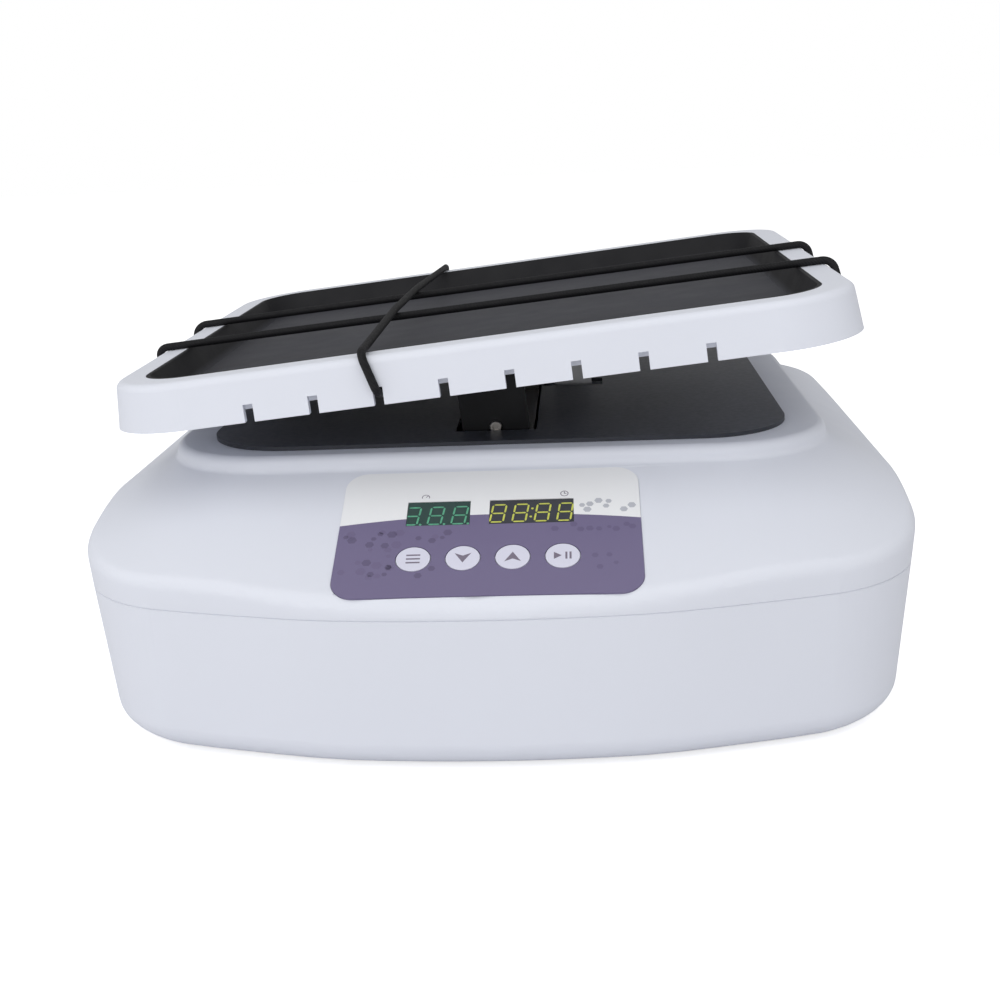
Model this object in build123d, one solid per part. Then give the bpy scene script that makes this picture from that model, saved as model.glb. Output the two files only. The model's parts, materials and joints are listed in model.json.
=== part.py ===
from build123d import *
import os
from math import cos, radians, sin, sqrt, tan

# Rocking platform shaker with a digital front panel. Millimetres, +Z up.
# The origin is on the table, under the middle of the housing; -Y is the front, where the keys are.
# The platform is drawn level in its own frame, with the pivot axis as its Y axis, and then tilted.

# Housing
body_width = 304.0
front_reach = 173.0
rear_reach = 170.5
front_bow_radius = 480.0
corner_radius = 45.0
shell_wall = 3.0
foot_height = 6.0
lower_height = 52.5
upper_height = 41.5
bottom_round = 9.0
shoulder_round = 7.0
front_slope = 25.7
side_slope = 28.4
rear_slope = 13.0
plinth_height = 5.6
plinth_top_round = 3.5
plinth_foot_round = 2.5
seam_lip = 2.0
lip_gap = 0.15

# Deck plate and its openings
deck_width = 221.0
deck_depth = 200.0
deck_corner = 33.0
deck_thickness = 1.5
plinth_front_margin = 10.0
plinth_side_margin = 15.5
pivot_opening_width = 31.0
pivot_opening_depth = 166.0
drive_opening_width = 26.0
drive_opening_depth = 14.5
opening_margin = 2.0
deck_stud_radius = 2.0
deck_stud_length = 9.0
nut_height = 3.2
nut_across_flats = 7.0

# Platform
pivot_over_deck = 2.5
rock_half_angle = 5.7
platform_width = 273.0
platform_depth = 258.6
platform_corner = 32.0
skirt_bottom = 23.3
rim_top = 40.2
skirt_draft = 8.0
rim_round = 3.0
skirt_wall = 3.0
tray_width = 246.8
tray_depth = 233.0
tray_corner = 19.0
tray_recess = 10.0
tray_draft = 22.0
notch_pitch = 23.0
notch_count = 8
notch_width = 3.5
notch_height = 6.2
mat_floor = 2.0
mat_wall = 1.5
mat_gap = 0.1

# Rocker bracket, pivot and their support
bracket_width = 25.6
bracket_length = 160.0
bracket_sheet = 3.0
bracket_bend = 2.0
shaft_radius = 4.0
running_gap = 0.03
bush_radius = 6.0
bush_flange_radius = 8.0
bush_flange = 1.5
ear_gap = 0.4
upright_sheet = 4.0
upright_tip_width = 24.0
upright_foot_width = 44.0
frame_foot_length = 22.0
web_height = 86.0
pivot_screw_radius = 1.25
pivot_screw_head_radius = 2.25
pivot_screw_head = 2.2
pivot_screw_length = 14.0

# Chassis plate on bosses
chassis_bottom = 24.0
chassis_thickness = 3.0
chassis_width = 204.0
chassis_depth = 176.0
chassis_corner = 8.0
boss_radius = 5.5
chassis_boss_x = 88.0
chassis_boss_y = 70.0

# Drive
drive_x = 29.0
drive_y = 8.5
crank_drop = 36.0
arm_thickness = 4.5
arm_neck_width = 16.0
arm_head_width = 29.0
arm_head_height = 20.5
arm_foot_width = 32.0
arm_foot_length = 30.0
arm_foot_sheet = 3.0
roller_radius = 5.0
roller_bore = 3.0
roller_length = 6.0
slot_side_gap = 1.0
slot_end_gap = 1.2
disc_radius = 12.0
disc_thickness = 5.0
disc_gap = 1.2
hub_radius = 6.5
hub_length = 7.0
hub_gap = 1.0
output_shaft_radius = 3.0
output_flat = 0.5
shaft_end_cover = 1.0
hub_screw_radius = 1.5
washer_thickness = 0.8
gearbox_radius = 18.5
gearbox_length = 22.0
gearbox_offset = 7.0
motor_radius = 17.5
motor_length = 46.0
motor_boss_radius = 6.0
motor_plate = 2.5
motor_plate_width = 46.0
motor_plate_margin = 4.0
motor_foot_length = 20.0
gearbox_screw_circle = 15.5

# Front panel, measured along the front slope from the middle of the key row
panel_width = 104.4
panel_below_keys = 18.0
panel_above_keys = 45.0
panel_corner = 8.0
overlay_thickness = 0.8
overlay_pocket = 0.5
key_row_y = -153.1
key_pitch = 16.86
key_radius = 5.8
key_gap = 0.3
key_thickness = 1.1
key_travel = 0.4
key_stem_radius = 1.8
window_above_keys = 22.8
window_height = 12.4
speed_window_x = -18.0
speed_window_width = 22.2
time_window_x = 14.5
time_window_width = 29.4
display_gap = 0.15
board_depth = 12.0
board_thickness = 1.6
board_width = 96.0
board_below_keys = 14.0
board_above_keys = 36.0
board_post_radius = 3.0
board_screw_inset = 4.0
tact_switch_size = 6.0
tact_switch_height = 3.6
tact_button_radius = 1.6

# Mains side, on the rear wall
mains_height = 35.0
inlet_x = -62.0
inlet_flange_width = 50.0
inlet_flange_height = 24.0
inlet_body_width = 27.4
inlet_body_height = 19.6
inlet_body_depth = 24.0
inlet_mouth_width = 24.0
inlet_mouth_height = 16.4
inlet_mouth_depth = 17.0
inlet_pin_pitch = 7.0
inlet_pin_length = 14.0
switch_x = -14.0
switch_bezel_width = 15.0
switch_bezel_height = 21.0
switch_body_width = 12.8
switch_body_height = 18.6
switch_body_depth = 17.0
switch_mouth_width = 9.6
switch_mouth_height = 15.2
rocker_tilt = 8.0
rocker_gap = 0.4
bezel_thickness = 2.0
panel_fit = 0.2

# Power board
power_board_x = -62.0
power_board_y = 10.0
power_board_width = 62.0
power_board_depth = 92.0
power_post_height = 6.0

# Feet, vents and screws
vent_count = 7
vent_length = 44.0
vent_width = 3.0
vent_pitch = 8.0
foot_radius = 11.0
foot_x = 108.0
foot_y = 122.0
foot_screw_radius = 2.0
screw_head_radius = 3.4
screw_head = 2.4
shell_post_x = 128.0
shell_post_y = 92.0
shell_post_radius = 5.5
shell_screw_radius = 1.75
shell_screw_length = 26.0
shell_screw_seat = 14.0
screw_clearance = 0.3
small_screw_radius = 1.4
small_screw_head_radius = 2.6
small_screw_head = 1.8
sunk_head = 1.4
inlet_screw_length = 8.0

# Elastic cords
cord_radius = 1.5
cord_gap = 0.1
cord_stop_radius = 3.0
notch_bend = 1.9
front_cord_left_y = -41.0
front_cord_right_y = -49.5
rear_cord_left_y = 20.5
rear_cord_right_y = 12.5
long_cord_front_x = -38.5
long_cord_rear_x = -31.5

# Worked out from the sizes above
seam = foot_height + lower_height
deck_level = seam + upper_height
roof_level = deck_level - plinth_height
deck_top = deck_level + deck_thickness
pivot_height = deck_level + pivot_over_deck
plinth_width = deck_width + 2 * plinth_side_margin
plinth_depth = deck_depth + 2 * plinth_front_margin
plinth_corner = deck_corner + plinth_front_margin
chassis_top = chassis_bottom + chassis_thickness
ear_face = bracket_length / 2 - bracket_sheet
upright_y = ear_face - ear_gap - bush_flange - upright_sheet / 2
bracket_top = rim_top - tray_recess - mat_floor - skirt_wall
crank_throw = drive_x * sin(radians(rock_half_angle))
crank_height = pivot_height - crank_drop
disc_front = drive_y + arm_thickness / 2 + disc_gap
journal_front = drive_y - roller_length / 2 - 0.1
journal_length = disc_front - journal_front
hub_screw_y = disc_front + disc_thickness + hub_length / 2
motor_plate_front = disc_front + disc_thickness + hub_length + hub_gap
gearbox_front = motor_plate_front + motor_plate
gearbox_x = drive_x + gearbox_offset
rest_tilt = Location((0, 0, pivot_height), (0, -rock_half_angle, 0))
key_row_z = roof_level - (-key_row_y - plinth_depth / 2) * tan(radians(front_slope))
tact_gap = key_travel + 0.05
slope_x = [(i - 1.5) * key_pitch for i in range(4)]


# Housing

def housing_plan(inset=0.0):
    """Outline of the housing from above: bowed front, straight sides and rear, round corners."""
    half = body_width / 2 - inset
    bow = front_bow_radius - inset
    front = -(front_reach - inset)
    side_start = front + bow - sqrt(bow**2 - half**2)
    rear = rear_reach - inset
    outline = [
        ThreePointArc((-half, side_start), (0, front), (half, side_start)),
        Line((half, side_start), (half, rear)),
        Line((half, rear), (-half, rear)),
        Line((-half, rear), (-half, side_start)),
    ]
    face = make_face(outline)
    return fillet(face.vertices(), corner_radius - inset)


def roof(lowered=0.0):
    """Everything under the roof: slopes of their own angle fall from the plinth to all four sides."""
    drop = roof_level - seam
    front_run = drop / tan(radians(front_slope))
    side_run = drop / tan(radians(side_slope))
    rear_run = drop / tan(radians(rear_slope))
    top = Plane.XY.offset(roof_level) * RectangleRounded(plinth_width, plinth_depth, plinth_corner)
    low_depth = plinth_depth + front_run + rear_run
    low = Rectangle(plinth_width + 2 * side_run, low_depth)
    low = fillet(low.vertices(), plinth_corner + side_run)
    low = Plane.XY.offset(seam) * Pos(0, (rear_run - front_run) / 2) * low
    return Pos(0, 0, -lowered) * loft([low, top], ruled=True)


def upper_block(inset=0.0, lowered=0.0):
    """The upper shell filled solid, or the room inside it when drawn in and lowered."""
    walls = extrude(Plane.XY.offset(seam) * housing_plan(inset), upper_height)
    return walls & roof(lowered)


def plinth(inset=0.0):
    """Low raised block under the deck plate."""
    shape = RectangleRounded(plinth_width - 2 * inset, plinth_depth - 2 * inset, plinth_corner - inset)
    base = roof_level - 2 * shell_wall
    return extrude(Plane.XY.offset(base) * shape, deck_level - inset - base)


def slope_plane(x=0.0, up=0.0, depth=0.0):
    """Plane on the front slope: x across, y up the slope, z out of the housing."""
    face = Plane(origin=(0, key_row_y, key_row_z), x_dir=(1, 0, 0),
                 z_dir=(0, -sin(radians(front_slope)), cos(radians(front_slope))))
    return Plane(origin=face.from_local_coords((x, up, -depth)), x_dir=face.x_dir, z_dir=face.z_dir)


def four(x, y):
    """The four places at plus and minus x and y."""
    return [(sx * x, sy * y) for sx in (-1, 1) for sy in (-1, 1)]


def drill(places, radius, low, high):
    """Upright cylinders at the given places."""
    return [Pos(x, y, (low + high) / 2) * Cylinder(radius, high - low) for x, y in places]


def deck_opening(margin, low, high):
    """The two openings over the mechanism: the long one for the pivot and the one for the drive arm."""
    pivot = Box(pivot_opening_width + 2 * margin, pivot_opening_depth + 2 * margin, high - low)
    drive = Box(drive_opening_width + 2 * margin, drive_opening_depth + 2 * margin, high - low)
    middle = (low + high) / 2
    return Pos(0, 0, middle) * pivot + Pos(drive_x, drive_y, middle) * drive


def seam_ring(outer_inset, inner_inset, low, high):
    """Thin ring along the seam, from one inset to another."""
    ring = housing_plan(outer_inset) - housing_plan(inner_inset)
    return extrude(Plane.XY.offset(low) * ring, high - low)


def panel_outline(margin=0.0):
    """Outline of the control panel on the slope."""
    height = panel_above_keys + panel_below_keys
    middle = (panel_above_keys - panel_below_keys) / 2
    shape = RectangleRounded(panel_width + 2 * margin, height + 2 * margin, panel_corner + margin)
    return Pos(0, middle) * shape


def panel_windows(margin=0.0):
    """The two display windows on the slope."""
    speed = Rectangle(speed_window_width + 2 * margin, window_height + 2 * margin)
    time = Rectangle(time_window_width + 2 * margin, window_height + 2 * margin)
    return Pos(speed_window_x, window_above_keys) * speed + Pos(time_window_x, window_above_keys) * time


def board_screw_places():
    """Where the control board is held, as places on the slope."""
    x = board_width / 2 - board_screw_inset
    low, high = board_screw_inset - board_below_keys, board_above_keys - board_screw_inset
    return [(sx * x, up) for sx in (-1, 1) for up in (low, high)]


def upper_housing():
    block = upper_block()
    walls = block.faces().filter_by(lambda f: abs(f.normal_at().Z) < 0.1)
    wall_top = [e for e in walls.edges() if e.center().Z > seam + 1 and abs(e.tangent_at(0.5).Z) < 0.7]
    block = fillet(wall_top, shoulder_round)
    raised = plinth()
    top_edges = raised.faces().sort_by(Axis.Z)[-1].edges()
    block = block + fillet(top_edges, plinth_top_round)
    foot_edges = [e for e in block.edges() if abs(e.center().Z - roof_level) < 0.01
                  and abs(e @ 0 - e @ 1) > 0.01]
    block = fillet(foot_edges, plinth_foot_round)
    inside = upper_block(shell_wall, shell_wall / cos(radians(front_slope))) + plinth(shell_wall)
    shell = block - inside
    posts = drill(four(shell_post_x, shell_post_y), shell_post_radius, seam, roof_level)
    shell += [post & block for post in posts]
    screw_top = seam - shell_screw_seat + shell_screw_length + 1
    shell -= drill(four(shell_post_x, shell_post_y), shell_screw_radius, seam - 1, screw_top)
    shell -= seam_ring(shell_wall / 2, shell_wall + 1, seam - 1, seam + seam_lip + lip_gap)
    shell -= deck_opening(opening_margin, web_height, deck_top)
    stud_holes = four(deck_width / 2 - deck_corner / 2, deck_depth / 2 - deck_corner / 2)
    shell -= drill(stud_holes, deck_stud_radius + screw_clearance, roof_level - 10, deck_top)
    # Pocket for the overlay, wells under the keys and openings behind the two windows
    shell -= extrude(slope_plane() * panel_outline(key_gap / 2), overlay_pocket, both=True)
    for x in slope_x:
        shell -= extrude(slope_plane(x) * Circle(key_radius + key_gap), 2 * key_thickness, both=True)
        shell -= extrude(slope_plane(x) * Circle(key_stem_radius + key_gap), 8, both=True)
    shell -= extrude(slope_plane() * panel_windows(panel_fit), 8, both=True)
    for x, up in board_screw_places():
        post = extrude(slope_plane(x, up, shell_wall / 2) * Circle(board_post_radius),
                       -(board_depth - shell_wall / 2))
        shell += post
        shell -= extrude(slope_plane(x, up, board_depth) * Circle(small_screw_radius), 6)
    return shell


def lower_housing():
    outer = extrude(Plane.XY.offset(foot_height) * housing_plan(), lower_height)
    outer = fillet(outer.faces().sort_by(Axis.Z)[0].edges(), bottom_round)
    floor = foot_height + shell_wall
    room = extrude(Plane.XY.offset(floor) * housing_plan(shell_wall), lower_height)
    room = fillet(room.faces().sort_by(Axis.Z)[0].edges(), bottom_round - shell_wall)
    shell = outer - room
    shell += seam_ring(shell_wall / 2 + lip_gap, shell_wall, seam - 1, seam + seam_lip)
    # Corner posts for the shell screws, bosses for the chassis and pads over the feet
    posts = four(shell_post_x, shell_post_y)
    shell += drill(posts, shell_post_radius + 1, foot_height + 1, seam)
    shell -= drill(posts, shell_screw_radius + screw_clearance, foot_height - 1, seam + 1)
    shell -= drill(posts, screw_head_radius + screw_clearance, foot_height - 1, seam - shell_screw_seat)
    bosses = four(chassis_boss_x, chassis_boss_y)
    shell += drill(bosses, boss_radius, foot_height + 1, chassis_bottom)
    shell -= drill(bosses, shell_screw_radius, floor, chassis_bottom + 1)
    feet = four(foot_x, foot_y)
    shell += drill(feet, boss_radius, foot_height + 1, floor + 6)
    shell -= drill(feet, foot_screw_radius, foot_height - 1, floor + 5)
    # Rear cut-outs for the inlet and the switch
    inlet = Box(inlet_body_width + 2 * panel_fit, 3 * shell_wall, inlet_body_height + 2 * panel_fit)
    switch = Box(switch_body_width + 2 * panel_fit, 3 * shell_wall, switch_body_height + 2 * panel_fit)
    shell -= Pos(inlet_x, rear_reach, mains_height) * inlet
    shell -= Pos(switch_x, rear_reach, mains_height) * switch
    for side in (-1, 1):
        hole = Cylinder(small_screw_radius, 4 * shell_wall, rotation=(90, 0, 0))
        shell -= Pos(inlet_x + side * inlet_screw_reach(), rear_reach, mains_height) * hole
    # Cooling slots through the floor under the motor
    for i in range(vent_count):
        slot = extrude(Plane.XY.offset(foot_height - 1) * SlotOverall(vent_length, vent_width), 3 * shell_wall)
        shell -= Pos(gearbox_x, gearbox_front + (i + 1) * vent_pitch) * slot
    return shell


def inlet_screw_reach():
    """How far the inlet's two screws sit from its middle."""
    return inlet_body_width / 2 + (inlet_flange_width - inlet_body_width) / 4


def deck_plate():
    outline = RectangleRounded(deck_width, deck_depth, deck_corner)
    plate = extrude(Plane.XY.offset(deck_level) * outline, deck_thickness)
    plate -= deck_opening(0, deck_level - 1, deck_top + 1)
    studs = four(deck_width / 2 - deck_corner / 2, deck_depth / 2 - deck_corner / 2)
    return plate + drill(studs, deck_stud_radius, deck_level - deck_stud_length, deck_level)


def deck_nuts():
    top = deck_level - shell_wall
    nut = RegularPolygon(nut_across_flats / 2, 6, major_radius=False) - Circle(deck_stud_radius)
    nut = extrude(Plane.XY.offset(top - nut_height) * nut, nut_height)
    places = four(deck_width / 2 - deck_corner / 2, deck_depth / 2 - deck_corner / 2)
    return [Pos(x, y) * nut for x, y in places]


def pan_screw(radius, length, head_radius, head):
    """Screw with its head above z = 0 and its shank below, and a cross cut in the head."""
    screw = Pos(0, 0, head / 2) * fillet(Cylinder(head_radius, head).edges().sort_by(Axis.Z)[-1:], head / 2.5)
    screw += Pos(0, 0, -length / 2) * Cylinder(radius, length)
    cut = Box(head_radius, radius / 2, head) + Box(radius / 2, head_radius, head)
    return screw - Pos(0, 0, head) * cut


def socket_screw(radius, length, head_radius, head):
    """Cap screw with a hexagon socket, head above z = 0."""
    cap = Pos(0, 0, head / 2) * chamfer(Cylinder(head_radius, head).edges().sort_by(Axis.Z)[-1:], head / 8)
    socket = extrude(Plane.XY.offset(head * 0.4) * RegularPolygon(head_radius * 0.55, 6), head)
    return cap + Pos(0, 0, -length / 2) * Cylinder(radius, length) - socket


def shell_screws():
    screw = pan_screw(shell_screw_radius, shell_screw_length, screw_head_radius, screw_head)
    place = seam - shell_screw_seat
    return [Pos(x, y, place) * Rot(180, 0, 0) * screw for x, y in four(shell_post_x, shell_post_y)]


def rubber_feet():
    foot = Cylinder(foot_radius, foot_height)
    foot = fillet(foot.edges().sort_by(Axis.Z)[:1], 1.5)
    foot -= Pos(0, 0, -foot_height / 2) * Cylinder(screw_head_radius + 1, foot_height)
    foot -= Cylinder(foot_screw_radius, 2 * foot_height)
    return [Pos(x, y, foot_height / 2) * foot for x, y in four(foot_x, foot_y)]


def foot_screws():
    seat = foot_height / 2
    screw = pan_screw(foot_screw_radius, seat + shell_wall + 4, screw_head_radius, screw_head)
    return [Pos(x, y, seat) * Rot(180, 0, 0) * screw for x, y in four(foot_x, foot_y)]


# Chassis and pivot

def frame_screw_places():
    """Where the pivot frame's two feet are screwed down."""
    x = upright_foot_width / 2 - 7
    y = upright_y - upright_sheet / 2 - frame_foot_length / 2
    return four(x, y)


def motor_screw_places():
    """Where the motor plate's foot is screwed down."""
    y = motor_plate_front + motor_plate + motor_foot_length * 0.6
    x = motor_plate_width / 2 - 8
    return [(gearbox_x - x, y), (gearbox_x + x, y)]


def power_post_places():
    """Where the power board's four posts stand."""
    return [(power_board_x + x, power_board_y + y)
            for x, y in four(power_board_width / 2 - 5, power_board_depth / 2 - 5)]


def chassis_plate():
    outline = RectangleRounded(chassis_width, chassis_depth, chassis_corner)
    plate = extrude(Plane.XY.offset(chassis_bottom) * outline, chassis_thickness)
    bottom, top = chassis_bottom - 1, chassis_top + 1
    bosses = four(chassis_boss_x, chassis_boss_y)
    plate -= drill(bosses, shell_screw_radius + screw_clearance, bottom, top)
    plate -= drill(frame_screw_places() + motor_screw_places(), foot_screw_radius, bottom, top)
    return plate - drill(power_post_places(), small_screw_radius, bottom, top)


def chassis_screws():
    screw = pan_screw(shell_screw_radius, chassis_thickness + 9, screw_head_radius, screw_head)
    return [Pos(x, y, chassis_top) * screw for x, y in four(chassis_boss_x, chassis_boss_y)]


def upright_outline(hole):
    """Tapered upright with a round head about the pivot, drawn as seen from the front."""
    tip = upright_tip_width / 2
    foot = upright_foot_width / 2
    blade = make_face(Polyline((-foot, chassis_top), (foot, chassis_top), (foot, chassis_top + upright_sheet),
                               (tip, web_height), (tip, pivot_height), (-tip, pivot_height),
                               (-tip, web_height), (-foot, chassis_top + upright_sheet), close=True))
    return blade + Pos(0, pivot_height) * Circle(tip) - Pos(0, pivot_height) * Circle(hole)


def pivot_frame():
    """Welded support: two uprights that hold the bushes, a web between them and two feet."""
    inner = upright_y - upright_sheet / 2
    frame = Box(upright_tip_width, 2 * inner, upright_sheet)
    frame = Pos(0, 0, web_height - upright_sheet / 2) * frame
    for side in (-1, 1):
        blade = extrude(Plane.XZ * upright_outline(bush_radius), upright_sheet / 2, both=True)
        frame += Pos(0, side * upright_y) * blade
        foot = Box(upright_foot_width, frame_foot_length, upright_sheet)
        foot_y = side * (inner - frame_foot_length / 2)
        frame += Pos(0, foot_y, chassis_top + upright_sheet / 2) * foot
    top = chassis_top + upright_sheet + 1
    return frame - drill(frame_screw_places(), foot_screw_radius, chassis_top - 1, top)


def frame_screws():
    length = upright_sheet + chassis_thickness + 2
    screw = pan_screw(foot_screw_radius, length, screw_head_radius, screw_head)
    return [Pos(x, y, chassis_top + upright_sheet) * screw for x, y in frame_screw_places()]


def pivot_bushes():
    """Flanged plain bushes pressed into the uprights, flange outwards."""
    bush = extrude(Plane.XZ * (Circle(bush_radius) - Circle(shaft_radius + running_gap)), -upright_sheet)
    flange = extrude(Plane.XZ * (Circle(bush_flange_radius) - Circle(shaft_radius + running_gap)), bush_flange)
    bush = Pos(0, -(upright_y + upright_sheet / 2), pivot_height) * (bush + flange)
    return [bush, mirror(bush, about=Plane.XZ)]


def pivot_shaft():
    """Shaft under the platform, tapped at both ends for the pivot screws."""
    shaft = Cylinder(shaft_radius, 2 * ear_face, rotation=(90, 0, 0))
    shaft = chamfer(shaft.edges().filter_by(GeomType.CIRCLE), 0.4)
    taps = Cylinder(pivot_screw_radius, 2 * pivot_screw_length, rotation=(90, 0, 0))
    shaft -= [Pos(0, side * ear_face) * taps for side in (-1, 1)]
    return rest_tilt * shaft


def pivot_screws():
    screw = socket_screw(pivot_screw_radius, pivot_screw_length, pivot_screw_head_radius, pivot_screw_head)
    front = Pos(0, -bracket_length / 2) * Rot(90, 0, 0) * screw
    rear = Pos(0, bracket_length / 2) * Rot(-90, 0, 0) * screw
    return [rest_tilt * front, rest_tilt * rear]


# Platform

def drafted(width, depth, corner, low, high, draft):
    """Rounded block from low to high whose sides lean in by the draft angle."""
    base = Plane.XY.offset(low) * RectangleRounded(width, depth, corner)
    return extrude(base, high - low, taper=draft)


def tray_block(grow=0.0, floor=0.0):
    """The tray's recess as a solid: widest at the rim, its sides leaning in towards the floor."""
    width = tray_width + 2 * grow
    depth = tray_depth + 2 * grow
    mouth = Plane.XY.offset(rim_top) * RectangleRounded(width, depth, tray_corner + grow)
    return extrude(mouth, -(tray_recess + floor), taper=tray_draft)


def notch_places(count):
    return [(i - (count - 1) / 2) * notch_pitch for i in range(count)]


def platform_frame():
    """Moulded tray: hollow rim and skirt, sunk floor, and cord notches in all four skirts."""
    outer = drafted(platform_width, platform_depth, platform_corner, skirt_bottom, rim_top, skirt_draft)
    outer = fillet(outer.faces().sort_by(Axis.Z)[-1].edges(), rim_round)
    hollow = drafted(platform_width - 2 * skirt_wall, platform_depth - 2 * skirt_wall,
                     platform_corner - skirt_wall, skirt_bottom, rim_top - skirt_wall, skirt_draft)
    hollow -= tray_block(skirt_wall, skirt_wall + mat_floor)
    frame = outer - hollow - tray_block(0, mat_floor)
    for place in notch_places(notch_count):
        for side in (-1, 1):
            frame -= Pos(place, side * platform_depth / 2, skirt_bottom) * notch(notch_width, 3 * skirt_wall)
            frame -= Pos(side * platform_width / 2, place, skirt_bottom) * notch(3 * skirt_wall, notch_width)
    frame -= [Pos(x, y, bracket_top) * Cylinder(small_screw_radius, 2 * skirt_wall - 1)
              for x, y in bracket_screw_places() + arm_screw_places()]
    return rest_tilt * frame


def notch(width, depth):
    """Cutter for one notch, open at the bottom edge of the skirt."""
    return Box(width, depth, 2 * notch_height)


def platform_mat():
    """Rubber mat that lines the tray, with its edge turned up to the rim."""
    mat = tray_block(-mat_gap, mat_floor - mat_gap)
    room = tray_block(-mat_gap - mat_wall)
    mat -= room
    return rest_tilt * mat


def bracket_screw_places():
    return [(0, side * bracket_length * share) for side in (-1, 1) for share in (0.14, 0.4)]


def rocker_bracket():
    """Bent sheet under the platform: a web with an ear at each end that drops to the pivot."""
    half = bracket_length / 2
    top = bracket_top
    side = make_face(Polyline((-half, 0), (-half, top), (half, top), (half, 0), (half - bracket_sheet, 0),
                              (half - bracket_sheet, top - bracket_sheet),
                              (-half + bracket_sheet, top - bracket_sheet), (-half + bracket_sheet, 0),
                              close=True))
    inner = side.vertices().filter_by(lambda v: abs(v.Y - top + bracket_sheet) < 0.01
                                      or (abs(v.Z - top + bracket_sheet) < 0.01))
    side = fillet(inner, bracket_bend)
    outer = side.vertices().filter_by(lambda v: abs(v.Y - top) < 0.01)
    side = fillet(outer, bracket_bend + bracket_sheet)
    bracket = extrude(Plane.YZ * side, bracket_width / 2, both=True)
    ear = extrude(Plane.XZ * Circle(bracket_width / 2), bracket_sheet)
    bracket += [Pos(0, -half + bracket_sheet) * ear, Pos(0, half) * ear]
    bracket -= Cylinder(pivot_screw_radius, 2 * bracket_length, rotation=(90, 0, 0))
    holes = [Pos(x, y, top) * Cylinder(small_screw_radius, 3 * bracket_sheet) for x, y in bracket_screw_places()]
    return rest_tilt * (bracket - holes)


def bracket_screws():
    screw = pan_screw(small_screw_radius, bracket_sheet + 2, small_screw_head_radius, small_screw_head)
    under = bracket_top - bracket_sheet
    return [rest_tilt * Pos(x, y, under) * Rot(180, 0, 0) * screw for x, y in bracket_screw_places()]


# Drive

def arm_screw_places():
    reach = arm_foot_length / 2 - 4
    return [(drive_x, drive_y - reach), (drive_x, drive_y + reach)]


def roller_sweep():
    """Lowest and highest place of the roller along the arm's slot, from the middle of the slot."""
    places = []
    for step in range(19):
        turn = radians(10 * step)
        tilt = radians(rock_half_angle) * (1 - step / 9)
        x = drive_x + crank_throw * sin(turn)
        z = -crank_drop + crank_throw * cos(turn)
        places.append(x * cos(tilt) + z * sin(tilt) - drive_x)
    return min(places), max(places)


def drive_arm():
    """Arm screwed under the platform, with a cross slot at its lower end for the crank's roller."""
    low, high = roller_sweep()
    slot_middle = drive_x + (low + high) / 2
    slot_length = high - low + 2 * (roller_radius + slot_end_gap)
    slot_height = 2 * (roller_radius + slot_side_gap)
    foot_z = bracket_top - arm_foot_sheet / 2
    neck_top = bracket_top - arm_foot_sheet
    head_top = -crank_drop + arm_head_height / 2
    neck = Rectangle(arm_neck_width, neck_top - head_top + 2)
    neck = Pos(drive_x, (neck_top + head_top) / 2 - 1) * neck
    head = Pos(slot_middle, -crank_drop) * RectangleRounded(arm_head_width, arm_head_height, 4)
    slot = Pos(slot_middle, -crank_drop) * SlotOverall(slot_length, slot_height)
    blade = extrude(Plane.XZ * (neck + head - slot), arm_thickness / 2, both=True)
    foot = Box(arm_foot_width, arm_foot_length, arm_foot_sheet)
    arm = Pos(0, drive_y) * blade + Pos(drive_x, drive_y, foot_z) * foot
    arm -= [Pos(x, y, foot_z) * Cylinder(small_screw_radius, 2 * arm_foot_sheet) for x, y in arm_screw_places()]
    return rest_tilt * arm


def arm_screws():
    screw = pan_screw(small_screw_radius, arm_foot_sheet + 2, small_screw_head_radius, small_screw_head)
    under = bracket_top - arm_foot_sheet
    return [rest_tilt * Pos(x, y, under) * Rot(180, 0, 0) * screw for x, y in arm_screw_places()]


def along_drive(shape, start, length):
    """Extrude a flat shape towards the rear from start, about the crank's axis."""
    return Pos(drive_x, start, crank_height) * extrude(Plane.XZ * shape, -length)


def flatted(radius, flat):
    """Round section with one flat, as on a gearmotor's output shaft."""
    return Circle(radius) - Pos(0, 2 * radius - flat) * Rectangle(4 * radius, 2 * radius)


def journal():
    """Section of the eccentric journal, at the top of its throw when the platform is highest on the right."""
    return Pos(0, crank_throw) * Circle(roller_bore)


def eccentric_hub():
    """Disc and hub on the gearmotor's shaft, with the roller's journal standing off centre on its front."""
    disc = along_drive(Circle(disc_radius), disc_front, disc_thickness)
    disc = chamfer(disc.edges().filter_by(GeomType.CIRCLE), 0.5)
    disc += along_drive(Circle(hub_radius), disc_front + disc_thickness, hub_length)
    disc += along_drive(journal(), journal_front, disc_front - journal_front + 1)
    bore_length = disc_thickness + hub_length
    disc -= along_drive(flatted(output_shaft_radius, output_flat), disc_front + shaft_end_cover, bore_length)
    disc -= along_drive(Pos(0, crank_throw) * Circle(pivot_screw_radius), journal_front - 1, journal_length + 1)
    cross_hole = Cylinder(hub_screw_radius, hub_radius + 1, align=(Align.CENTER, Align.CENTER, Align.MIN))
    return disc - Pos(drive_x, hub_screw_y, crank_height) * cross_hole


def hub_screw():
    """Set screw that bears on the shaft's flat."""
    length = hub_radius - output_shaft_radius + output_flat
    screw = Cylinder(hub_screw_radius, length, align=(Align.CENTER, Align.CENTER, Align.MIN))
    screw -= extrude(Plane.XY.offset(length - 1.5) * RegularPolygon(hub_screw_radius * 0.6, 6), 2)
    return Pos(drive_x, hub_screw_y, crank_height + output_shaft_radius - output_flat) * screw


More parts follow.
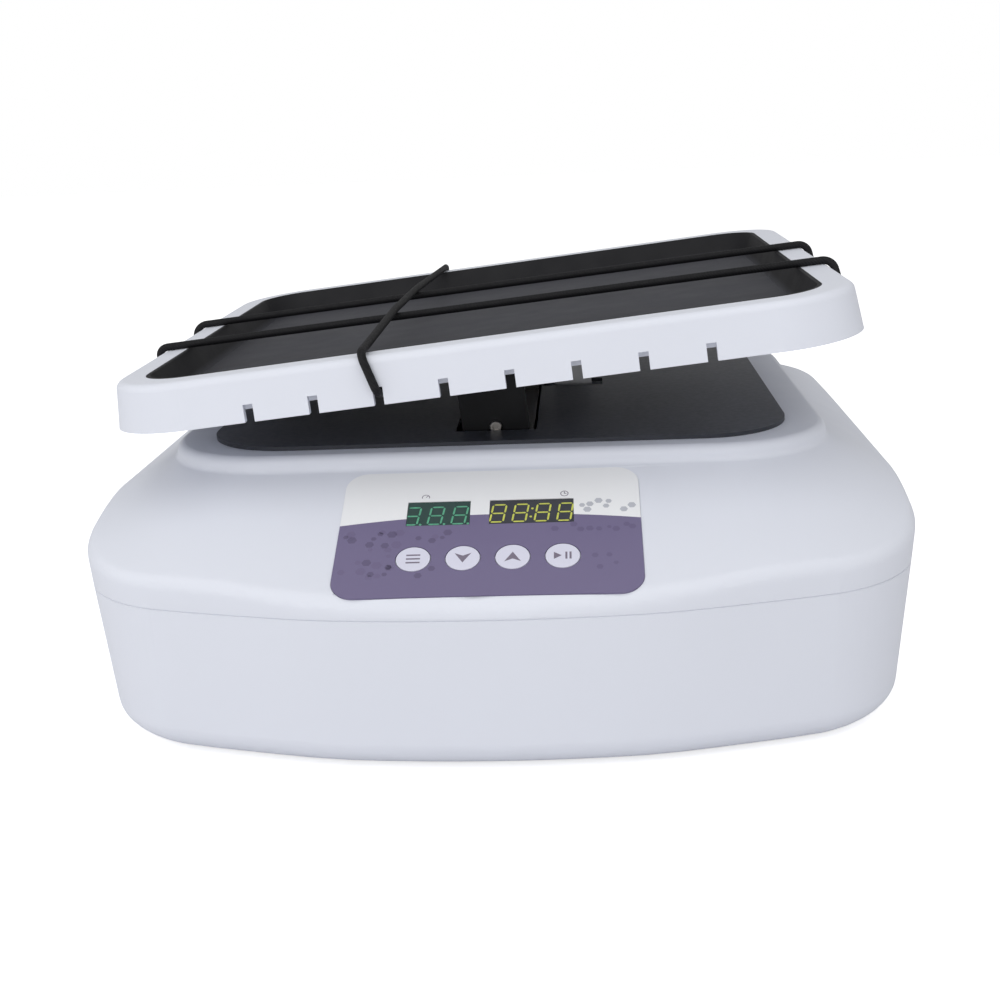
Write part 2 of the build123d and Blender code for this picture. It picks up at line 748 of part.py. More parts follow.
def roller_screw():
    """Screw and washer in the journal's end, which keep the roller on."""
    screw = socket_screw(pivot_screw_radius, journal_length, pivot_screw_head_radius, pivot_screw_head)
    washer = Cylinder(roller_bore + 1, washer_thickness, align=(Align.CENTER, Align.CENTER, Align.MAX))
    screw = screw + washer
    return Pos(drive_x, journal_front - washer_thickness, crank_height + crank_throw) * Rot(90, 0, 0) * screw


def crank_roller():
    ring = Pos(0, crank_throw) * (Circle(roller_radius) - Circle(roller_bore + running_gap))
    return along_drive(ring, drive_y - roller_length / 2, roller_length)


def output_shaft():
    start = disc_front + shaft_end_cover
    straight = along_drive(flatted(output_shaft_radius, output_flat), start, motor_plate_front - start - 0.2)
    return straight + along_drive(Circle(output_shaft_radius), motor_plate_front - 0.2, motor_plate + 6)


def on_gearbox(shape, start, length):
    """Extrude a flat shape towards the rear from start, about the gearbox's own axis."""
    return Pos(gearbox_x, start, crank_height) * extrude(Plane.XZ * shape, -length)


def gearbox_screw_ring():
    return [(gearbox_screw_circle * cos(radians(a)), gearbox_screw_circle * sin(radians(a)))
            for a in (30, 150, 210, 330)]


def gearbox_case():
    case = on_gearbox(Circle(gearbox_radius), gearbox_front, gearbox_length)
    case = fillet(case.edges().sort_by(Axis.Y)[-1:], 1)
    case += along_drive(Circle(motor_boss_radius), gearbox_front - motor_plate, motor_plate)
    case -= along_drive(Circle(output_shaft_radius + running_gap), gearbox_front - motor_plate - 1, motor_plate + 7.5)
    for x, z in gearbox_screw_ring():
        case -= on_gearbox(Pos(x, z) * Circle(small_screw_radius), gearbox_front - 1, 6)
    return case


def motor_can():
    start = gearbox_front + gearbox_length
    can = on_gearbox(Circle(motor_radius), start, motor_length)
    can = fillet(can.edges().sort_by(Axis.Y)[-1:], 2)
    can += on_gearbox(Circle(5), start + motor_length - 1, 4)
    for side in (-1, 1):
        terminal = Pos(side * 10) * Rectangle(1, 3)
        can += on_gearbox(terminal, start + motor_length - 1, 7)
    return can


def motor_bracket():
    """Folded plate: the gearmotor's front is screwed to its face, its foot stands on the chassis."""
    height = crank_height + gearbox_radius + motor_plate_margin - chassis_top
    face = Box(motor_plate_width, motor_plate, height)
    face = Pos(gearbox_x, motor_plate_front + motor_plate / 2, chassis_top + height / 2) * face
    face = fillet(face.edges().filter_by(Axis.Y).sort_by(Axis.Z)[-2:], 6)
    foot = Box(motor_plate_width, motor_foot_length, motor_plate)
    foot_y = motor_plate_front + motor_foot_length / 2
    bracket = face + Pos(gearbox_x, foot_y, chassis_top + motor_plate / 2) * foot
    bracket -= along_drive(Circle(motor_boss_radius + 0.1), motor_plate_front - 1, motor_plate + 2)
    for x, z in gearbox_screw_ring():
        bracket -= on_gearbox(Pos(x, z) * Circle(small_screw_radius), motor_plate_front - 1, motor_plate + 2)
    return bracket - drill(motor_screw_places(), foot_screw_radius, chassis_top - 1, chassis_top + 5)


def gearbox_screws():
    screw = pan_screw(small_screw_radius, motor_plate + 4, small_screw_head_radius, small_screw_head)
    return [Pos(gearbox_x + x, motor_plate_front, crank_height + z) * Rot(90, 0, 0) * screw
            for x, z in gearbox_screw_ring()]


def motor_foot_screws():
    length = motor_plate + chassis_thickness + 2
    screw = pan_screw(foot_screw_radius, length, screw_head_radius, screw_head)
    return [Pos(x, y, chassis_top + motor_plate) * screw for x, y in motor_screw_places()]


# Control panel

def control_overlay():
    sheet = panel_outline() - panel_windows()
    for x in slope_x:
        sheet -= Pos(x, 0) * Circle(key_radius + key_gap)
    return extrude(slope_plane(0, 0, overlay_pocket) * sheet, overlay_thickness)


def key(x):
    """Round key with a stem that reaches to its switch on the board."""
    top = overlay_thickness - overlay_pocket + 0.1
    cap = extrude(slope_plane(x, 0, -top) * Circle(key_radius), -key_thickness)
    cap = fillet(cap.edges().sort_by(Axis.Z)[-1:], 0.2)
    bottom = board_depth - tact_switch_height - tact_gap
    return cap + extrude(slope_plane(x, 0, bottom) * Circle(key_stem_radius), bottom)


def display(x, width):
    """Digit module: a block that fills its window from behind and stands on the board."""
    shape = Pos(x, window_above_keys) * Rectangle(width - 2 * display_gap, window_height - 2 * display_gap)
    face = display_gap - overlay_thickness + overlay_pocket
    return extrude(slope_plane(0, 0, face) * shape, -(board_depth - face))


def control_board():
    height = board_below_keys + board_above_keys
    shape = Pos(0, (board_above_keys - board_below_keys) / 2) * Rectangle(board_width, height)
    board = extrude(slope_plane(0, 0, board_depth) * shape, -board_thickness)
    for x, up in board_screw_places():
        board -= extrude(slope_plane(x, up, board_depth - 1) * Circle(small_screw_radius), -board_thickness - 2)
    return board


def tact_switches():
    """Push switches on the board, one behind each key."""
    switches = []
    for x in slope_x:
        base = extrude(slope_plane(x, 0, board_depth) * Rectangle(tact_switch_size, tact_switch_size),
                       tact_switch_height - 0.8)
        button = extrude(slope_plane(x, 0, board_depth) * Circle(tact_button_radius), tact_switch_height)
        switches.append(base + button)
    return switches


def board_screws():
    screw = pan_screw(small_screw_radius, 5, small_screw_head_radius, small_screw_head)
    back = board_depth + board_thickness
    return [Location(slope_plane(x, up, back)) * Rot(180, 0, 0) * screw for x, up in board_screw_places()]


# Mains parts

def on_rear(shape, start, length):
    """Extrude a flat shape inwards from start behind the rear wall's outer face, at the mains height."""
    return Pos(0, rear_reach + start, mains_height) * extrude(Plane.XZ * shape, length)


def inlet_mouth():
    """Outline of the inlet's socket, with its two upper corners cut off."""
    mouth = Pos(inlet_x, 0) * Rectangle(inlet_mouth_width, inlet_mouth_height)
    return chamfer(mouth.vertices().sort_by(Axis.Y)[-2:], 4.5)


def power_inlet():
    flange = Pos(inlet_x, 0) * RectangleRounded(inlet_flange_width, inlet_flange_height, 5)
    body = Pos(inlet_x, 0) * RectangleRounded(inlet_body_width, inlet_body_height, 1)
    inlet = on_rear(flange, bezel_thickness, bezel_thickness) + on_rear(body, 0, inlet_body_depth)
    inlet -= on_rear(inlet_mouth(), bezel_thickness, inlet_mouth_depth)
    for side in (-1, 1):
        hole = Pos(inlet_x + side * inlet_screw_reach(), 0) * Circle(small_screw_radius)
        inlet -= on_rear(hole, bezel_thickness, 2 * bezel_thickness)
        head = Cone(small_screw_radius, small_screw_head_radius, sunk_head)
        place = Pos(inlet_x + side * inlet_screw_reach(), rear_reach + bezel_thickness, mains_height)
        inlet -= place * Rot(-90, 0, 0) * Pos(0, 0, -sunk_head / 2) * head
    for x, z in inlet_pin_places():
        inlet -= on_rear(Pos(x, z) * Rectangle(2, 4), bezel_thickness, inlet_body_depth + 2 * bezel_thickness)
    return inlet


def inlet_pin_places():
    return [(inlet_x - inlet_pin_pitch, -2), (inlet_x + inlet_pin_pitch, -2), (inlet_x, 3)]


def inlet_pins():
    start = bezel_thickness - inlet_mouth_depth + inlet_pin_length
    length = inlet_pin_length + inlet_body_depth + bezel_thickness - inlet_mouth_depth + 5
    return [on_rear(Pos(x, z) * Rectangle(2, 4), start, length) for x, z in inlet_pin_places()]


def inlet_screws():
    """Countersunk screws, flush with the inlet's flange."""
    screw = Pos(0, 0, -sunk_head / 2) * Cone(small_screw_radius, small_screw_head_radius, sunk_head)
    screw += Pos(0, 0, -inlet_screw_length / 2 - sunk_head / 2) * Cylinder(
        small_screw_radius, inlet_screw_length - sunk_head)
    places = [inlet_x + side * inlet_screw_reach() for side in (-1, 1)]
    return [Pos(x, rear_reach + bezel_thickness, mains_height) * Rot(-90, 0, 0) * screw for x in places]


def switch_body():
    bezel = Pos(switch_x, 0) * RectangleRounded(switch_bezel_width, switch_bezel_height, 1.5)
    body = Pos(switch_x, 0) * RectangleRounded(switch_body_width, switch_body_height, 0.8)
    mouth = Pos(switch_x, 0) * Rectangle(switch_mouth_width, switch_mouth_height)
    shell = on_rear(bezel, bezel_thickness, bezel_thickness) + on_rear(body, 0, switch_body_depth)
    shell -= on_rear(mouth, bezel_thickness, bezel_thickness + 9)
    for z in (-5, 5):
        shell += on_rear(Pos(switch_x, z) * Rectangle(4.8, 0.8), 2 - switch_body_depth, 9)
    return shell


def switch_rocker():
    """Paddle with a shallow hollow across its face, drawn in its off position."""
    half = switch_mouth_height / 2 - rocker_gap - 0.6
    profile = make_face(Polyline((1.2, -half), (0.2, 0), (1.2, half), (-1.2, half), (-5, 3), (-5, -3),
                                 (-1.2, -half), close=True))
    paddle = extrude(Plane.YZ * profile, switch_mouth_width / 2 - rocker_gap, both=True)
    return Pos(switch_x, rear_reach + 0.5, mains_height) * Rot(rocker_tilt, 0, 0) * paddle


def power_board():
    board = Box(power_board_width, power_board_depth, board_thickness)
    middle = chassis_top + power_post_height + board_thickness / 2
    board = Pos(power_board_x, power_board_y, middle) * board
    low = chassis_top + power_post_height - 1
    return board - drill(power_post_places(), small_screw_radius, low, low + 4)


def power_posts():
    low, high = chassis_top, chassis_top + power_post_height
    posts = drill(power_post_places(), board_post_radius, low, high)
    return [post - hole for post, hole in zip(posts, drill(power_post_places(), small_screw_radius, low - 1, high + 1))]


def power_screws():
    screw = pan_screw(small_screw_radius, board_thickness + 4, small_screw_head_radius, small_screw_head)
    top = chassis_top + power_post_height + board_thickness
    return [Pos(x, y, top) * screw for x, y in power_post_places()]


def power_components():
    """Transformer, two capacitors, a heat sink and two connectors on the power board."""
    top = chassis_top + power_post_height + board_thickness
    parts = [Pos(-8, -8, 11) * fillet(Box(30, 26, 22).edges().filter_by(Axis.Z), 1.5)]
    parts += [Pos(x, 24, 9) * Cylinder(5, 18) for x in (-14, 0)]
    sink = Pos(19, 4, 8) * Box(3, 34, 16)
    for i in range(6):
        sink += Pos(22.5, -10 + 5.6 * i, 8) * Box(5, 1.2, 16)
    parts.append(sink)
    parts += [Pos(x, -33, 4) * Box(14, 8, 8) for x in (-14, 10)]
    return [Pos(power_board_x, power_board_y, top) * part for part in parts]


# Elastic cords

def rounded_path(points, bends):
    """Path through the points with an arc of the given radius at each inner point."""
    edges = []
    start = Vector(*points[0])
    for before, corner, after, bend in zip(points, points[1:], points[2:], bends):
        corner = Vector(*corner)
        back = (Vector(*before) - corner).normalized()
        ahead = (Vector(*after) - corner).normalized()
        half = radians(back.get_angle(ahead)) / 2
        reach = bend / tan(half)
        middle = (back + ahead).normalized() * (bend / sin(half) - bend)
        arc = ThreePointArc(corner + back * reach, corner + middle, corner + ahead * reach)
        edges += [Line(start, arc @ 0), arc]
        start = arc @ 1
    edges.append(Line(start, Vector(*points[-1])))
    return Wire(edges)


def cord(points, bends):
    path = rounded_path(points, bends)
    section = Plane(origin=path @ 0, z_dir=path % 0) * Circle(cord_radius)
    return sweep(section, path=path)


def skirt_half(size, height):
    """Half the platform's outer width or depth at a height on the skirt."""
    return size / 2 - (height - skirt_bottom) * tan(radians(skirt_draft))


def cord_levels():
    """Heights of a cord in its notch and on the rim."""
    in_notch = skirt_bottom + notch_height - cord_radius - 0.2
    return in_notch, rim_top + cord_radius + cord_gap


def cord_reaches(size):
    """How far from the middle a cord's stop, its outer bend and its rim bend lie."""
    in_notch, on_rim = cord_levels()
    stop = skirt_half(size, in_notch) - skirt_wall - cord_stop_radius - cord_gap
    notch_out = skirt_half(size, in_notch) + cord_radius + cord_gap
    rim_out = skirt_half(size, on_rim) + cord_radius + 2 * cord_gap
    return stop, notch_out, rim_out


def cross_cord(left_notch, left_rim, right_rim, right_notch):
    """Cord from a notch in the left skirt, over both rims, to a notch in the right skirt."""
    in_notch, on_rim = cord_levels()
    stop, notch_out, rim_out = cord_reaches(platform_width)
    points = [(-stop, left_notch, in_notch), (-notch_out, left_notch, in_notch), (-rim_out, left_rim, on_rim),
              (rim_out, right_rim, on_rim), (notch_out, right_notch, in_notch), (stop, right_notch, in_notch)]
    rim_bend = rim_round + cord_radius + cord_gap
    return rest_tilt * cord(points, (notch_bend, rim_bend, rim_bend, notch_bend))


def front_cross_cord():
    return cross_cord(notches()[2], front_cord_left_y, front_cord_right_y, notches()[1])


def rear_cross_cord():
    return cross_cord(notches()[4], rear_cord_left_y, rear_cord_right_y, notches()[4])


def notches():
    return notch_places(notch_count)


def long_cord():
    """Cord from the front skirt to the rear skirt, which passes over the two cross cords."""
    in_notch, on_rim = cord_levels()
    stop, notch_out, rim_out = cord_reaches(platform_depth)
    x = notches()[2]
    over = on_rim + 2 * cord_radius + cord_gap
    front_cross = (front_cord_left_y + front_cord_right_y) / 2 + 1
    rear_cross = (rear_cord_left_y + rear_cord_right_y) / 2 + 1
    slant = (long_cord_rear_x - long_cord_front_x) / (2 * rim_out)
    middle_x = (long_cord_rear_x + long_cord_front_x) / 2
    points = [(x, -stop, in_notch), (x, -notch_out, in_notch), (long_cord_front_x, -rim_out, on_rim),
              (middle_x + slant * front_cross, front_cross, over),
              (middle_x + slant * rear_cross, rear_cross, over),
              (long_cord_rear_x, rim_out, on_rim), (x, notch_out, in_notch), (x, stop, in_notch)]
    rim_bend = rim_round + cord_radius + cord_gap
    return rest_tilt * cord(points, (notch_bend, rim_bend, 30, 30, rim_bend, notch_bend))


def cord_stops():
    """Ball at each cord's end, behind its notch."""
    in_notch, on_rim = cord_levels()
    side_stop = cord_reaches(platform_width)[0]
    end_stop = cord_reaches(platform_depth)[0]
    places = [(-side_stop, notches()[2]), (side_stop, notches()[1]), (-side_stop, notches()[4]),
              (side_stop, notches()[4]), (notches()[2], -end_stop), (notches()[2], end_stop)]
    bore = 2 * cord_stop_radius
    across = Sphere(cord_stop_radius) - Cylinder(cord_radius, bore, rotation=(0, 90, 0))
    along = Sphere(cord_stop_radius) - Cylinder(cord_radius, bore, rotation=(90, 0, 0))
    return [rest_tilt * Pos(x, y, in_notch) * (along if abs(y) == end_stop else across) for x, y in places]


def build():
    keys = ("menu_key", "down_key", "up_key", "start_key")
    nodes = {
        "lower_housing": lower_housing(), "upper_housing": upper_housing(), "deck_plate": deck_plate(),
        "deck_nuts": deck_nuts(), "shell_screws": shell_screws(), "rubber_feet": rubber_feet(),
        "foot_screws": foot_screws(), "chassis_plate": chassis_plate(), "chassis_screws": chassis_screws(),
        "pivot_frame": pivot_frame(), "frame_screws": frame_screws(), "pivot_bushes": pivot_bushes(),
        "pivot_shaft": pivot_shaft(), "pivot_screws": pivot_screws(), "platform_frame": platform_frame(),
        "platform_mat": platform_mat(), "rocker_bracket": rocker_bracket(),
        "bracket_screws": bracket_screws(), "drive_arm": drive_arm(), "arm_screws": arm_screws(),
        "eccentric_hub": eccentric_hub(), "hub_screw": hub_screw(), "roller_screw": roller_screw(),
        "crank_roller": crank_roller(), "output_shaft": output_shaft(), "gearbox_case": gearbox_case(),
        "motor_can": motor_can(), "motor_bracket": motor_bracket(), "gearbox_screws": gearbox_screws(),
        "motor_foot_screws": motor_foot_screws(), "control_overlay": control_overlay(),
        "speed_display": display(speed_window_x, speed_window_width),
        "time_display": display(time_window_x, time_window_width), "control_board": control_board(),
        "tact_switches": tact_switches(), "board_screws": board_screws(), "power_inlet": power_inlet(),
        "inlet_pins": inlet_pins(), "inlet_screws": inlet_screws(), "switch_body": switch_body(),
        "switch_rocker": switch_rocker(), "power_board": power_board(), "power_posts": power_posts(),
        "power_screws": power_screws(), "power_components": power_components(),
        "front_cross_cord": front_cross_cord(), "rear_cross_cord": rear_cross_cord(),
        "long_cord": long_cord(), "cord_stops": cord_stops(),
    }
    nodes.update({name: key(x) for name, x in zip(keys, slope_x)})
    return nodes


os.makedirs("parts", exist_ok=True)
for name, shape in build().items():
    solids = [s for piece in (shape if isinstance(shape, list) else [shape]) for s in piece.solids()]
    export_step(Compound(children=solids) if len(solids) > 1 else solids[0], f"parts/{name}.step")
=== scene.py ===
import json
import bmesh
import bpy
import numpy as np
from mathutils import Matrix, Vector


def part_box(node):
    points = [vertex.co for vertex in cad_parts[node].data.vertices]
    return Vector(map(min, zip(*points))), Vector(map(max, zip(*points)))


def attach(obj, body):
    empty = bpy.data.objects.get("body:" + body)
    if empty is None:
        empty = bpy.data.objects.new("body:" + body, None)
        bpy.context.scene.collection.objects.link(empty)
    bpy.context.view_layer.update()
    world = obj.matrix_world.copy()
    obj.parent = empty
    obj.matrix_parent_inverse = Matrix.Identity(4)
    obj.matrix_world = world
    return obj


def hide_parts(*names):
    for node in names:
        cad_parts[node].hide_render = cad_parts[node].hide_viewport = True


# Rocking platform shaker: finishes, moulded shells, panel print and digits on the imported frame.
# Metres, +Z up, -Y front. Lengths in the dictionaries are metres and angles are degrees.

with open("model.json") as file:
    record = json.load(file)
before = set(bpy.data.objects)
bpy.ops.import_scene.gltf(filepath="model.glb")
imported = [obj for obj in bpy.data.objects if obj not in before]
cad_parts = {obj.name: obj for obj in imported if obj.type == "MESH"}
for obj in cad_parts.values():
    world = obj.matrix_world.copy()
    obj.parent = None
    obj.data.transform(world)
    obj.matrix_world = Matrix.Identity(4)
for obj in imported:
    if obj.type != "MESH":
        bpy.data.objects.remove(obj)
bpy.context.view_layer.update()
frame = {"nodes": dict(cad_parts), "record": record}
nodes = frame["nodes"]
print("stage: frame loaded")


# Camera, solved from the photograph

camera = {
    "place": (0.03411, -0.6004, 0.21987),
    "yaw": 3.72,
    "pitch": 15.71,
    "roll": -2.58,
    "focalPixels": 1400.0,
    "photoPixels": 1000.0,
    "sensor": 36.0,  # mm, as the lens is
    "clipStart": 0.01,
}


def makeCamera(look):
    # The view's direction from yaw and pitch, with the frame rolled about it.
    yaw, pitch, roll = np.radians([look["yaw"], look["pitch"], look["roll"]])
    forward = Vector((-np.sin(yaw) * np.cos(pitch), np.cos(yaw) * np.cos(pitch), -np.sin(pitch)))
    level = Vector((np.cos(yaw), np.sin(yaw), 0))
    upright = level.cross(forward)
    right = level * np.cos(roll) + upright * np.sin(roll)
    up = upright * np.cos(roll) - level * np.sin(roll)
    data = bpy.data.cameras.new("photoCamera")
    data.sensor_width = look["sensor"]
    data.lens = look["sensor"] * look["focalPixels"] / look["photoPixels"]
    data.clip_start = look["clipStart"]
    body = bpy.data.objects.new("photoCamera", data)
    bpy.context.scene.collection.objects.link(body)
    turn = Matrix((right, up, -forward)).transposed().to_4x4()
    body.matrix_world = Matrix.Translation(Vector(look["place"])) @ turn
    bpy.context.scene.camera = body


makeCamera(camera)
bpy.context.scene.view_settings.view_transform = "Standard"
print("stage: camera placed")


# Materials

def linear(colour):
    # Screen colour, 0 to 255, as linear light.
    c = np.array(colour, float) / 255
    return tuple(np.where(c <= 0.04045, c / 12.92, ((c + 0.055) / 1.055) ** 2.4)) + (1.0,)


def mottled(colour, change):
    # The same colour, made lighter or darker by a share.
    return tuple(min(1.0, c * (1 + change)) for c in colour[:3]) + (1.0,)


class Finish:
    # A material whose nodes are added one by one.

    def __init__(self, name):
        self.material = bpy.data.materials.new(name)
        self.material.use_nodes = True
        self.tree = self.material.node_tree
        self.shader = self.tree.nodes["Principled BSDF"]
        self.place = self.add("ShaderNodeTexCoord").outputs["Object"]

    def add(self, kind, **values):
        node = self.tree.nodes.new(kind)
        for key, value in values.items():
            setattr(node, key, value)
        return node

    def join(self, source, target):
        self.tree.links.new(source, target)

    def set(self, name, value):
        self.shader.inputs[name].default_value = value

    def feed(self, name, source):
        self.join(source, self.shader.inputs[name])

    def axes(self):
        apart = self.add("ShaderNodeSeparateXYZ")
        self.join(self.place, apart.inputs[0])
        return apart.outputs

    def math(self, operation, first, second=0.0):
        node = self.add("ShaderNodeMath", operation=operation)
        for socket, value in zip(node.inputs, (first, second)):
            if isinstance(value, (int, float)):
                socket.default_value = value
            else:
                self.join(value, socket)
        return node.outputs[0]

    def noise(self, scale, detail=3.0):
        node = self.add("ShaderNodeTexNoise")
        node.inputs["Scale"].default_value = scale
        node.inputs["Detail"].default_value = detail
        self.join(self.place, node.inputs["Vector"])
        return node.outputs["Fac"]

    def spread(self, factor, low, high, fromLow=0.3, fromHigh=0.7):
        # Stretch a factor: fromLow becomes low and fromHigh becomes high.
        node = self.add("ShaderNodeMapRange")
        for socket, value in zip(node.inputs[1:5], (fromLow, fromHigh, low, high)):
            socket.default_value = value
        self.join(factor, node.inputs[0])
        return node.outputs[0]

    def mix(self, factor, first, second):
        node = self.add("ShaderNodeMix", data_type="RGBA")
        self.join(factor, node.inputs["Factor"])
        for socket, value in zip((node.inputs[6], node.inputs[7]), (first, second)):
            if isinstance(value, tuple):
                socket.default_value = value
            else:
                self.join(value, socket)
        return node.outputs[2]

    def patches(self, scale, colour, first, second):
        # Broad patches of one screen colour, which the two shares make darker or lighter.
        factor = self.spread(self.noise(scale, 2), 0, 1)
        return self.mix(factor, mottled(linear(colour), first), mottled(linear(colour), second))

    def gloss(self, look, detail=3.0):
        self.feed("Roughness", self.spread(self.noise(look["glossScale"], detail), *look["roughness"]))

    def bump(self, height, strength, distance=0.0001):
        node = self.add("ShaderNodeBump")
        node.inputs["Strength"].default_value = strength
        node.inputs["Distance"].default_value = distance
        self.join(height, node.inputs["Height"])
        self.feed("Normal", node.outputs[0])


usual = {"mottleScale": 14, "glossScale": 60, "metal": 0.0, "specular": 0.5}  # where a finish says nothing


def plainFinish(name, look):
    # Colour with a slight mottle, uneven gloss and a fine moulded or rolled grain.
    look = {**usual, **look}
    finish = Finish(name)
    tone = finish.patches(look["mottleScale"], look["colour"], -look["mottle"], look["mottle"])
    finish.feed("Base Color", tone)
    finish.gloss(look)
    finish.bump(finish.noise(look["grainScale"], 4), look["grain"])
    finish.set("Metallic", look["metal"])
    finish.set("Specular IOR Level", look["specular"])
    return finish.material


finishes = {
    # Outside
    "housing_shell": {"colour": (214, 217, 226), "mottle": 0.006, "roughness": (0.42, 0.52),
                      "grainScale": 1800, "grain": 0.05, "specular": 0.4},
    "deck": {"colour": (55, 57, 64), "mottle": 0.012, "roughness": (0.4, 0.46),
             "grainScale": 2500, "grain": 0.05, "glossScale": 500, "specular": 0.3},
    "bracket": {"colour": (12, 13, 16), "mottle": 0.1, "roughness": (0.5, 0.6),
                "grainScale": 1500, "grain": 0.1, "specular": 0.2},
    "key_cap": {"colour": (208, 208, 223), "mottle": 0.015, "roughness": (0.35, 0.45),
                "grainScale": 2500, "grain": 0.05},
    "cord_stop": {"colour": (22, 22, 24), "mottle": 0.06, "roughness": (0.3, 0.45),
                  "grainScale": 2000, "grain": 0.1},
    "foot_rubber": {"colour": (34, 34, 35), "mottle": 0.1, "roughness": (0.7, 0.85),
                    "grainScale": 1500, "grain": 0.25},
    "mains_plastic": {"colour": (28, 28, 30), "mottle": 0.05, "roughness": (0.35, 0.5),
                      "grainScale": 1800, "grain": 0.15},
    "rocker": {"colour": (32, 32, 34), "mottle": 0.04, "roughness": (0.2, 0.3),
               "grainScale": 2500, "grain": 0.04},
    # Drive and pivot
    "roller": {"colour": (232, 230, 222), "mottle": 0.02, "roughness": (0.35, 0.45),
               "grainScale": 2500, "grain": 0.05},
    "hub": {"colour": (190, 191, 194), "mottle": 0.03, "roughness": (0.25, 0.35),
            "grainScale": 2500, "grain": 0.06, "metal": 1.0},
    "arm": {"colour": (184, 185, 188), "mottle": 0.04, "roughness": (0.35, 0.45),
            "grainScale": 1500, "grain": 0.08, "metal": 1.0},
    "bush": {"colour": (190, 150, 90), "mottle": 0.06, "roughness": (0.35, 0.5),
             "grainScale": 2500, "grain": 0.1, "metal": 1.0},
    "gearbox": {"colour": (138, 138, 140), "mottle": 0.08, "roughness": (0.38, 0.5),
                "grainScale": 1200, "grain": 0.12, "metal": 1.0},
    "motor": {"colour": (128, 128, 132), "mottle": 0.05, "roughness": (0.3, 0.42),
              "grainScale": 1800, "grain": 0.05, "metal": 1.0},
    "chassis": {"colour": (160, 160, 158), "mottle": 0.12, "roughness": (0.35, 0.5),
                "grainScale": 400, "grain": 0.08, "metal": 1.0, "mottleScale": 60},
    "shaft_steel": {"colour": (170, 170, 172), "mottle": 0.04, "roughness": (0.2, 0.32),
                    "grainScale": 3000, "grain": 0.05, "metal": 1.0},
    "screw_steel": {"colour": (150, 146, 142), "mottle": 0.05, "roughness": (0.25, 0.4),
                    "grainScale": 3000, "grain": 0.05, "metal": 1.0},
    # Boards
    "board": {"colour": (38, 104, 62), "mottle": 0.1, "roughness": (0.3, 0.45),
              "grainScale": 900, "grain": 0.1, "mottleScale": 300},
    "component": {"colour": (58, 58, 64), "mottle": 0.2, "roughness": (0.35, 0.55),
                  "grainScale": 900, "grain": 0.1, "mottleScale": 80},
    "pin_brass": {"colour": (200, 190, 160), "mottle": 0.05, "roughness": (0.25, 0.38),
                  "grainScale": 3000, "grain": 0.05, "metal": 1.0},
}


# Panel: everything on it is placed across the slope, up the slope and out of it

panel = {
    "slope": 25.7,
    "belowKeys": 0.018,  # from the sheet's lower edge to the key row
    "sheet": 0.0008,
    "white": (228, 229, 231),
    "purple": (108, 100, 132),
    "splitCentre": (0.002, -0.3284),  # across and up: the middle of the arc that parts the two colours
    "splitRadius": 0.350,
    "glossScale": 80,
    "roughness": (0.36, 0.46),
    "grainScale": 2600,
    "grain": 0.06,
}
slopeTurn = np.radians(panel["slope"])
upSlope = np.array([0, np.cos(slopeTurn), np.sin(slopeTurn)])
outward = np.array([0, -np.sin(slopeTurn), np.cos(slopeTurn)])
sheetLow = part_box("control_overlay")[0]
sheetFoot = np.array([0, sheetLow.y, sheetLow.z + panel["sheet"] * np.cos(slopeTurn)])
keyRow = sheetFoot + upSlope * panel["belowKeys"]


def onPanel(across, up, out):
    # Places on the panel: across, up the slope from the key row, and out of the sheet's face.
    across, up, out = (part[..., None] for part in np.broadcast_arrays(across, up, out))
    return keyRow + across * np.array([1.0, 0, 0]) + up * upSlope + out * outward


def overlayFinish(look):
    # White sheet outside a wide circle and purple inside it, satin all over.
    finish = Finish("overlay")
    x, y = finish.axes()[:2]
    rise = finish.math("DIVIDE", finish.math("SUBTRACT", y, float(keyRow[1])), float(np.cos(slopeTurn)))
    across = finish.math("SUBTRACT", x, look["splitCentre"][0])
    up = finish.math("SUBTRACT", rise, look["splitCentre"][1])
    squares = (finish.math("MULTIPLY", across, across), finish.math("MULTIPLY", up, up))
    reach = finish.math("SQRT", finish.math("ADD", *squares))
    above = finish.math("GREATER_THAN", reach, look["splitRadius"])
    finish.feed("Base Color", finish.mix(above, linear(look["purple"]), linear(look["white"])))
    finish.gloss(look)
    finish.bump(finish.noise(look["grainScale"], 3), look["grain"])
    return finish.material


displays = {
    "speedDisplay": {"node": "speed_display", "colour": (50, 70, 66)},
    "timeDisplay": {"node": "time_display", "colour": (60, 61, 66)},
}
windowLook = {
    "mottle": 0.12,
    "mottleScale": 120,
    "glossScale": 200,
    "roughness": (0.16, 0.24),
    "grainScale": 900,
    "grain": 0.02,
}


def displayFinish(name, colour, look):
    # Dark smoked window of a digit module.
    finish = Finish(name)
    finish.feed("Base Color", finish.patches(look["mottleScale"], colour, 0, look["mottle"]))
    finish.gloss(look, 2)
    finish.bump(finish.noise(look["grainScale"], 2), look["grain"])
    return finish.material


braid = {
    # painted shade in the dips between the strands
    "dipShade": (7, 7, 9),
    "light": (24, 24, 28),
    "strand": 0.0013,
    "depth": 0.0002,
    "relief": 0.5,
    "glossScale": 900,
    "roughness": (0.6, 0.75),
    "specular": 0.25,
}


def cordFinish(look):
    # Braided cover: the height is the product of two crossing sets of waves, and painted shade makes it darker
    # where it dips.
    finish = Finish("cord")
    x, y, z = finish.axes()
    turns = float(np.pi / look["strand"])
    waves = []
    for way in ("ADD", "SUBTRACT"):
        along = finish.math("ADD", finish.math(way, x, y), z)
        wave = finish.math("SINE", finish.math("MULTIPLY", along, turns))
        waves.append(finish.math("ABSOLUTE", wave))
    height = finish.math("MULTIPLY", *waves)
    # painted shade: the dips between strands take the darker tone
    finish.feed("Base Color", finish.mix(height, linear(look["dipShade"]), linear(look["light"])))
    finish.gloss(look, 2)
    finish.bump(height, look["relief"], look["depth"])
    finish.set("Specular IOR Level", look["specular"])
    return finish.material


